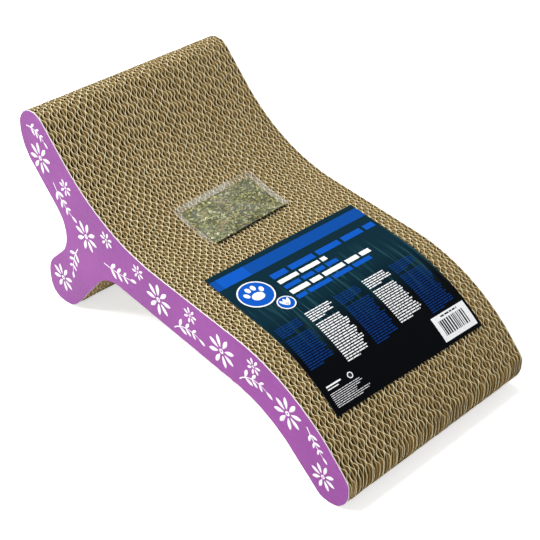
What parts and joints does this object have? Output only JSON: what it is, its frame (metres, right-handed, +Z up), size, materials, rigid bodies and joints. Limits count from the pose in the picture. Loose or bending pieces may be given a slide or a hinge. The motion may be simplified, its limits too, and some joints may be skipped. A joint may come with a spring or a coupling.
{
  "type": "cat scratcher",
  "caption": "Curved cat lounge for scratching and lying on, made of corrugated boards glued face to face, with printed sides, a catnip pouch and an information card.",
  "frame": {"origin": "on the floor, under the middle of the scratcher's length and width", "axes": "+X runs from the raised headrest to the toe, +Y across the boards and +Z up"},
  "size_m": [0.48, 0.2496, 0.237],
  "materials": {
    "corrugated_board": "raw kraft corrugated board, matt, cut edges open",
    "printed_paper": "purple print on white paper, satin",
    "clear_film": "clear glossy film",
    "dried_catnip": "dry crushed leaf, matt",
    "printed_card": "dark printed card, glossy"
  },
  "bodies": {
    "block": {"side_print_near": "printed_paper", "board_01": "corrugated_board", "board_02": "corrugated_board", "board_03": "corrugated_board", "board_04": "corrugated_board", "board_05": "corrugated_board", "board_06": "corrugated_board", "board_07": "corrugated_board", "board_08": "corrugated_board", "board_09": "corrugated_board", "board_10": "corrugated_board", "board_11": "corrugated_board", "board_12": "corrugated_board", "board_13": "corrugated_board", "board_14": "corrugated_board", "board_15": "corrugated_board", "board_16": "corrugated_board", "board_17": "corrugated_board", "board_18": "corrugated_board", "board_19": "corrugated_board", "board_20": "corrugated_board", "board_21": "corrugated_board", "board_22": "corrugated_board", "board_23": "corrugated_board", "board_24": "corrugated_board", "board_25": "corrugated_board", "board_26": "corrugated_board", "board_27": "corrugated_board", "board_28": "corrugated_board", "board_29": "corrugated_board", "board_30": "corrugated_board", "board_31": "corrugated_board", "board_32": "corrugated_board", "board_33": "corrugated_board", "board_34": "corrugated_board", "board_35": "corrugated_board", "board_36": "corrugated_board", "board_37": "corrugated_board", "board_38": "corrugated_board", "board_39": "corrugated_board", "board_40": "corrugated_board", "board_41": "corrugated_board", "board_42": "corrugated_board", "board_43": "corrugated_board", "board_44": "corrugated_board", "board_45": "corrugated_board", "board_46": "corrugated_board", "board_47": "corrugated_board", "board_48": "corrugated_board", "board_49": "corrugated_board", "board_50": "corrugated_board", "board_51": "corrugated_board", "board_52": "corrugated_board", "board_53": "corrugated_board", "board_54": "corrugated_board", "board_55": "corrugated_board", "side_print_far": "printed_paper"},
    "pouch": {"catnip_pouch": "clear_film", "catnip_fill": "dried_catnip"},
    "card": {"info_card": "printed_card"}
  },
  "joints": [
    {"name": "pouch_lift", "type": "slide", "parent": "block", "child": "pouch", "axis": [0, 0, 1], "range_m": [0, 0.15]},
    {"name": "card_lift", "type": "slide", "parent": "block", "child": "card", "axis": [0, 0, 1], "range_m": [0, 0.2]}
  ]
}
